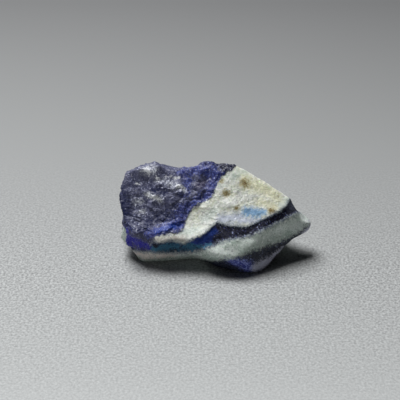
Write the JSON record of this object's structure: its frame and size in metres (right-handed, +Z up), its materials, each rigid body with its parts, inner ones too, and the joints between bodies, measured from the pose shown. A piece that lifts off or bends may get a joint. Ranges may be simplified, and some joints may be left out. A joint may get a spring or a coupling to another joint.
{
  "type": "rough afghanite stone",
  "caption": "Rough broken lump of dark blue afghanite in white marble, with sloping fracture faces, a pointed toe and a nub at one end; it rests on a flat break.",
  "frame": {"origin": "on the surface that the stone stands on, under the middle of its bounding box", "axes": "+X along the stone's longest side towards the nub, -Y towards its broad sloping front faces and toe, +Z up"},
  "size_m": [0.0262, 0.0132, 0.0119],
  "materials": {
    "stone": "broken natural stone, dull, dark slate-blue and ultramarine mineral with bands of sugary white marble"
  },
  "bodies": {
    "root": {"rough_afghanite": "stone"}
  },
  "joints": []
}
